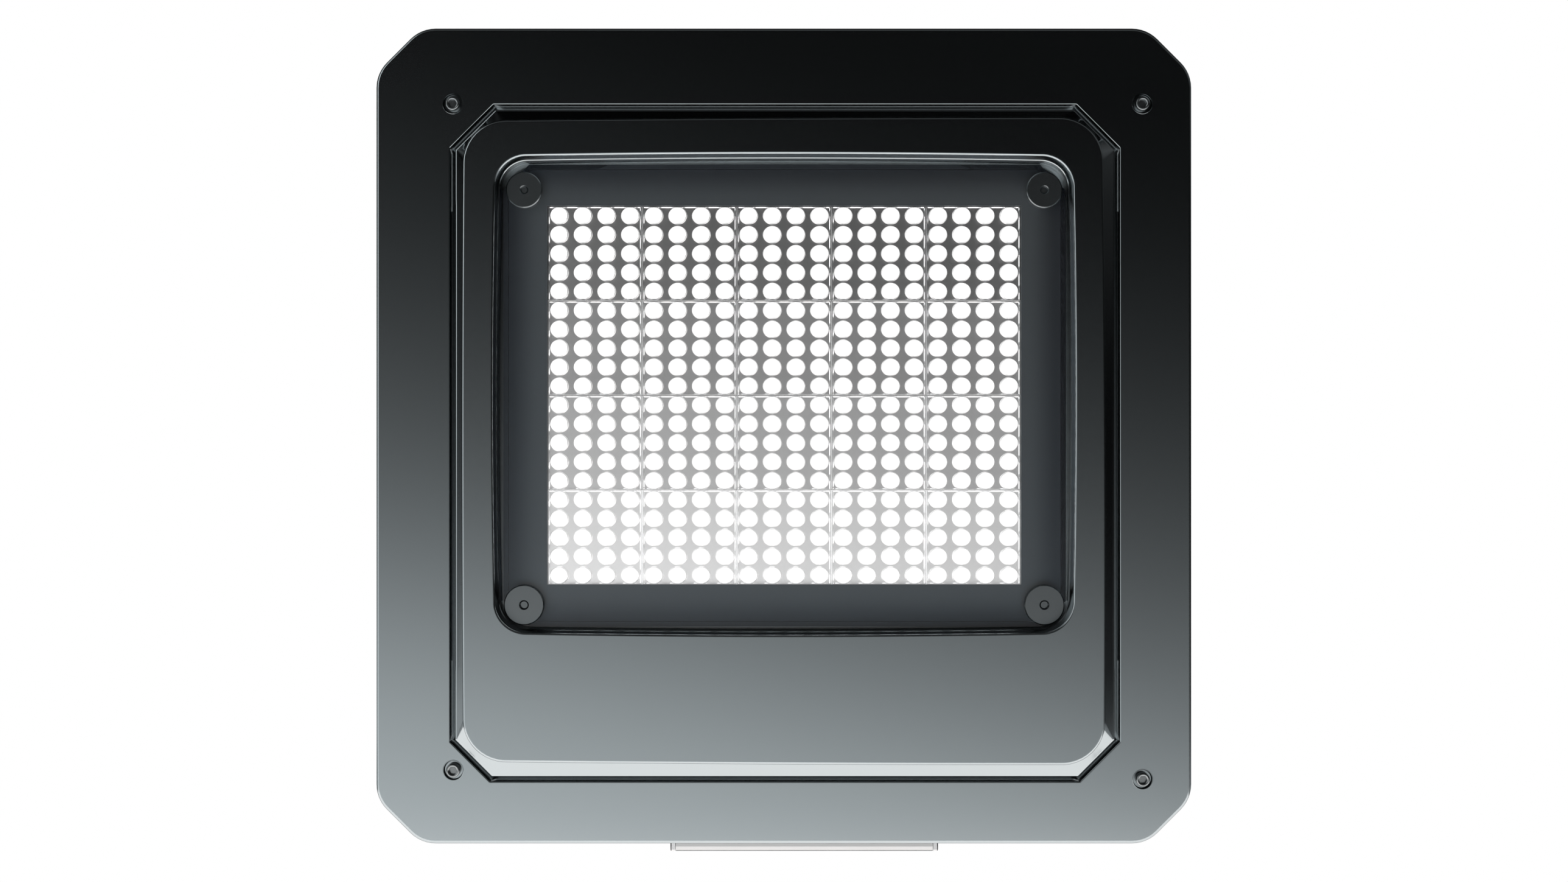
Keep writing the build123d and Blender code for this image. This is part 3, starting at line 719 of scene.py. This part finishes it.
def lens_mesh(material, edge, glow):
    """One block: a clear plate with a raised edge, and twenty lenses with lit crowns."""
    half_x, half_z = (block_width - block_gap) / 2, (block_height - block_gap) / 2

    def box_ring(side, end, depth):
        x, z = half_x - side, half_z - end
        return [(-x, depth, -z), (x, depth, -z), (x, depth, z), (-x, depth, z)]

    base_rings = [
        box_ring(0, 0, block_back),
        box_ring(0, 0, rim_front + 0.25),
        box_ring(0.2, 0.2, rim_front),
        box_ring(rim_side - rim_slope, rim_end - rim_slope, rim_front),
        box_ring(rim_side, rim_end, block_front),
    ]
    skins = [bridged(base_rings, cap_last=True)]
    disc_flat, base_flat = lens_disc_z / lens_disc_x, lens_base_z / lens_base_x
    shoulder = block_front - flange_height
    profile = [
        (lens_base_x + 0.1, block_front, base_flat),
        (lens_base_x, shoulder + 0.1, base_flat),
        (lens_base_x - 0.1, shoulder, base_flat),
        (lens_disc_x + 0.25, shoulder, disc_flat),
        (lens_disc_x + 0.1, lens_front + 0.9, disc_flat),
        (lens_disc_x, lens_front + 0.5, disc_flat),
        (lens_disc_x * 0.72, lens_front + 0.12, disc_flat),
        (lens_disc_x * 0.35, lens_front, disc_flat),
    ]
    edge_faces, glow_faces = [], []
    for i in range(lenses_across):
        for j in range(lenses_up):
            x = (i - (lenses_across - 1) / 2) * lens_pitch_x
            z = (j - (lenses_up - 1) / 2) * lens_pitch_z
            rings = [circle(x, z, radius, depth, lens_sides, flat) for radius, depth, flat in profile]
            before = sum(len(faces) for _, faces in skins)
            skins.append(bridged(rings, cap_last=True))
            edge_faces += range(before + lens_sides, before + lens_sides * 3)
            glow_faces += range(before + lens_sides * 5, before + lens_sides * 7 + 1)
    mesh = make_mesh("lens_block", *joined(*skins), smooth=lens_sharp_angle)
    mesh.materials.append(material)
    mesh.materials.append(edge)
    mesh.materials.append(glow)
    for face in edge_faces:
        mesh.polygons[face].material_index = 1
    for face in glow_faces:
        mesh.polygons[face].material_index = 2
    return mesh


def lens_blocks(painted_glow_sheets, edge, glow):
    """Rows of blocks from the top, each row with its own sheet material, whose painted glow grows
    towards the bottom.
    """
    for row, material in enumerate(painted_glow_sheets):
        mesh = lens_mesh(material, edge, glow)
        for column in range(blocks_across):
            name = f"lens_skin_{row + 1}_{column + 1}"
            block = bpy.data.objects.new(name, mesh)
            bpy.context.collection.objects.link(block)
            x = array_x + (column - (blocks_across - 1) / 2) * block_width
            z = array_z + ((blocks_up - 1) / 2 - row) * block_height
            block.location = (x * MM, 0, z * MM)
            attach(block, "face")
            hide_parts(f"lens_block_{row + 1}_{column + 1}")


def lamp(name, place, target, size, power, glossy=False, color=(1.0, 1.0, 1.0)):
    """A rectangular lamp aimed at a target, in metres and watts."""
    data = bpy.data.lights.new(name, "AREA")
    data.color = color
    data.shape = "RECTANGLE"
    data.size, data.size_y = size
    data.energy = power
    piece = bpy.data.objects.new(name, data)
    bpy.context.collection.objects.link(piece)
    piece.location = place
    piece.visible_glossy = glossy
    piece.rotation_euler = (Vector(target) - Vector(place)).to_track_quat("-Z", "Y").to_euler()


def world():
    """White for the camera, and for gloss a studio: bright floor, lit left side, white behind."""
    scene_world = bpy.data.worlds.new("studio")
    bpy.context.scene.world = scene_world
    scene_world.use_nodes = True
    nodes, links = scene_world.node_tree.nodes, scene_world.node_tree.links
    nodes.clear()

    def combined(operation, *values):
        node = nodes.new("ShaderNodeMath")
        node.operation = operation
        for socket, value in zip(node.inputs, values):
            if isinstance(value, (int, float)):
                socket.default_value = value
            else:
                links.new(value, socket)
        return node.outputs["Value"]

    def step(value, start, end, top=1.0):
        node = nodes.new("ShaderNodeMapRange")
        node.interpolation_type = "SMOOTHSTEP"
        node.inputs["From Min"].default_value = start
        node.inputs["From Max"].default_value = end
        node.inputs["To Max"].default_value = top
        links.new(value, node.inputs["Value"])
        return node.outputs["Result"]

    def background(color, strength=1.0):
        node = nodes.new("ShaderNodeBackground")
        node.inputs["Color"].default_value = (*color, 1.0)
        node.inputs["Strength"].default_value = strength
        return node

    def mixed(factor, first, second):
        node = nodes.new("ShaderNodeMixShader")
        links.new(factor, node.inputs["Fac"])
        links.new(first, node.inputs[1])
        links.new(second, node.inputs[2])
        return node.outputs["Shader"]

    place = nodes.new("ShaderNodeTexCoord")
    parts = nodes.new("ShaderNodeSeparateXYZ")
    links.new(place.outputs["Generated"], parts.inputs["Vector"])
    x, y, z = parts.outputs
    tones = nodes.new("ShaderNodeFloatCurve")
    aside = combined("MULTIPLY", x, step(x, *slope_range))
    height = combined("MULTIPLY_ADD", aside, studio_slope, z)
    links.new(combined("MULTIPLY_ADD", height, 0.5, 0.5), tones.inputs["Value"])
    curve = tones.mapping.curves[0]
    top = max(tone for _, tone in studio_tones)
    first, *middle, last = studio_tones
    curve.points[0].location = (0.0, first[1] / top)
    curve.points[1].location = (1.0, last[1] / top)
    for position, tone in middle:
        curve.points.new((position + 1) / 2, tone / top)
    tones.mapping.update()
    level = combined("MULTIPLY", tones.outputs["Value"], top)
    left = combined("MULTIPLY", step(x, *left_range, left_tone), step(y, *left_front_range))
    level = combined("MAXIMUM", level, left)
    gloss = background((1.0, 1.0, 1.0))
    links.new(level, gloss.inputs["Strength"])
    warmth = nodes.new("ShaderNodeMix")
    warmth.data_type = "RGBA"
    warmth.inputs["A"].default_value = (1.0, 1.0, 1.0, 1.0)
    warmth.inputs["B"].default_value = (*floor_tint, 1.0)
    links.new(step(z, *tint_range), warmth.inputs["Factor"])
    links.new(warmth.outputs["Result"], gloss.inputs["Color"])
    white = background((1.0, 1.0, 1.0)).outputs["Background"]
    soft = background(soft_color, soft_tone).outputs["Background"]
    path = nodes.new("ShaderNodeLightPath")
    shiny = combined("MAXIMUM", path.outputs["Is Glossy Ray"], path.outputs["Is Transmission Ray"])
    studio = mixed(step(y, *behind_range), gloss.outputs["Background"], white)
    seen = mixed(path.outputs["Is Camera Ray"], mixed(shiny, soft, studio), white)
    out = nodes.new("ShaderNodeOutputWorld")
    links.new(seen, out.inputs["Surface"])


def floor():
    """A pale floor under the part, in metres, a little brighter for the camera."""
    mesh = bpy.data.meshes.new("floor")
    height, front, back, side = -0.56, -1.3, 1.2, 2.5
    corners = [(-side, front), (side, front), (side, back), (-side, back)]
    mesh.from_pydata([(x, y, height) for x, y in corners], [], [(0, 1, 2, 3)])
    piece = bpy.data.objects.new("floor", mesh)
    bpy.context.collection.objects.link(piece)
    material = shader("floor", (0.8, 0.8, 0.8), 0.9, Emission_Color=(1.0, 1.0, 1.0, 1.0))
    tree = material.node_tree
    path = tree.nodes.new("ShaderNodeLightPath")
    seen = tree.nodes.new("ShaderNodeMath")
    seen.operation = "MULTIPLY"
    seen.inputs[1].default_value = floor_lift
    tree.links.new(path.outputs["Is Camera Ray"], seen.inputs[0])
    tree.links.new(seen.outputs["Value"], tree.nodes["Principled BSDF"].inputs["Emission Strength"])
    mesh.materials.append(material)


def camera():
    """The photograph's viewpoint, level and straight on."""
    data = bpy.data.cameras.new("camera")
    data.lens = camera_lens
    view = bpy.data.objects.new("camera", data)
    bpy.context.collection.objects.link(view)
    view.location = (camera_x * MM, (plate_front - camera_distance) * MM, camera_z * MM)
    view.rotation_euler = (math.pi / 2, 0, 0)
    bpy.context.scene.camera = view


def set_material(node, material):
    """Dresses one of the frame's own nodes."""
    mesh = frame["nodes"][node].data
    mesh.materials.clear()
    mesh.materials.append(material)


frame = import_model()

plate_paint = paint("plate_paint", (0.265, 0.298, 0.31), 0.15)
housing_paint = paint("housing_paint", (0.265, 0.298, 0.31), 0.15)
clamp_paint = paint("clamp_paint", (0.15, 0.168, 0.175), 0.24)
# Dark screw steel: its low tone is partly painted shade, darkened to the deep shade inside the
# plate's screw recesses, and used on every screw
screw_steel = metal("screw_steel", (0.16, 0.175, 0.18), 0.25, tone_spread=0.05)
hinge_steel = metal("hinge_steel", (0.42, 0.44, 0.45), 0.3, 500.0, 0.06, (12.0, 1.0, 1.0))
leaf_steel = metal("leaf_steel", (0.33, 0.345, 0.35), 0.3, 500.0, 0.06, (12.0, 1.0, 1.0))
zinc = metal("zinc_steel", (0.6, 0.62, 0.64), 0.4, 160.0, 0.14)
aluminium = metal("frame_aluminium", (0.7, 0.71, 0.72), 0.45, 700.0, 0.08, (1.0, 1.0, 20.0))
brass = metal("brass", (0.62, 0.47, 0.22), 0.35)
rubber = moulded("rubber", (0.02, 0.02, 0.022), 0.7)
# The dark mask and the glass gasket carry a painted glow of the lenses' light near the array
mask = painted_glow_mask("mask", (0.013, 0.0125, 0.013), 0.35)
glass = clear_glass("window_glass")
# One clear sheet material per row, each with a painted glow that is brighter towards the bottom
painted_glow_lens_sheets = [
    glowing(f"lens_clear_painted_glow_{row + 1}", strength, (0.95, 0.955, 0.96), roughness=0.2, metallic=1.0)
    for row, strength in enumerate(painted_sheet_glow)
]
lens_edge = glowing("lens_edge", 0.2, (0.6, 0.6, 0.6))
lens_glow = glowing("lens_glow", 1.0)
black_plastic = moulded("gland_plastic", (0.02, 0.02, 0.022), 0.45)
white_plastic = moulded("white_plastic", (0.7, 0.7, 0.68), 0.4)
board = moulded("board_white", (0.8, 0.8, 0.8), 0.4)
lead = moulded("lead_plastic", (0.4, 0.03, 0.03), 0.4)

plate = trim_plate(plate_paint)
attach(plate, "face")
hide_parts("trim_plate")
body = housing(housing_paint)
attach(body, "face")
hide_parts("housing")
for label, (z, radius, hole) in (("upper", clamp_upper), ("lower", clamp_lower)):
    pair = clamp_pair(f"clamp_skin_{label}", clamp_paint, z, radius, hole)
    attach(pair, "face")
    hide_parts(f"clamps_{label}")
screws = plate_screws(screw_steel)
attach(screws, "face")
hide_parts("plate_screws")
small_fasteners(screw_steel, zinc, brass, black_plastic)
sheet_mask = mask_sheet(mask)
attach(sheet_mask, "face")
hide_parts("optic_mask")
lens_blocks(painted_glow_lens_sheets, lens_edge, lens_glow)

for node, material in {
    "window_glass": glass,
    "heat_sink": housing_paint,
    "glass_gasket": mask,
    "plate_gasket": rubber,
    "cover_gasket": rubber,
    "mounting_frame": aluminium,
    "hinge_brackets": hinge_steel,
    "hinge_leaf": leaf_steel,
    "hinge_pin": screw_steel,
    "side_bracket_left": zinc,
    "side_bracket_right": zinc,
    "gear_cover": zinc,
    "gear_tray": zinc,
    "driver": black_plastic,
    "surge_protector": white_plastic,
    "terminal_block": white_plastic,
    "cable_gland": black_plastic,
    "breather_vent": black_plastic,
    "leads": lead,
    "thermal_pad": rubber,
    "led_board_1": board,
    "led_board_2": board,
    "led_board_3": board,
    "led_board_4": board,
}.items():
    set_material(node, material)

world()
floor()
camera()
lamp("key", (-1.2, -2.2, 0.8), (0, 0, -0.1), (1.5, 1.5), 30.0)
lamp("top", (0.3, -0.8, 2.2), (0, 0, 0), (2.0, 2.0), 20.0)
lamp("low", (-0.1, -0.6, -0.54), (-0.1, -0.6, 0), (2.2, 1.4), 19.0, glossy=True, color=floor_tint)
bpy.context.scene.view_settings.view_transform = "Standard"
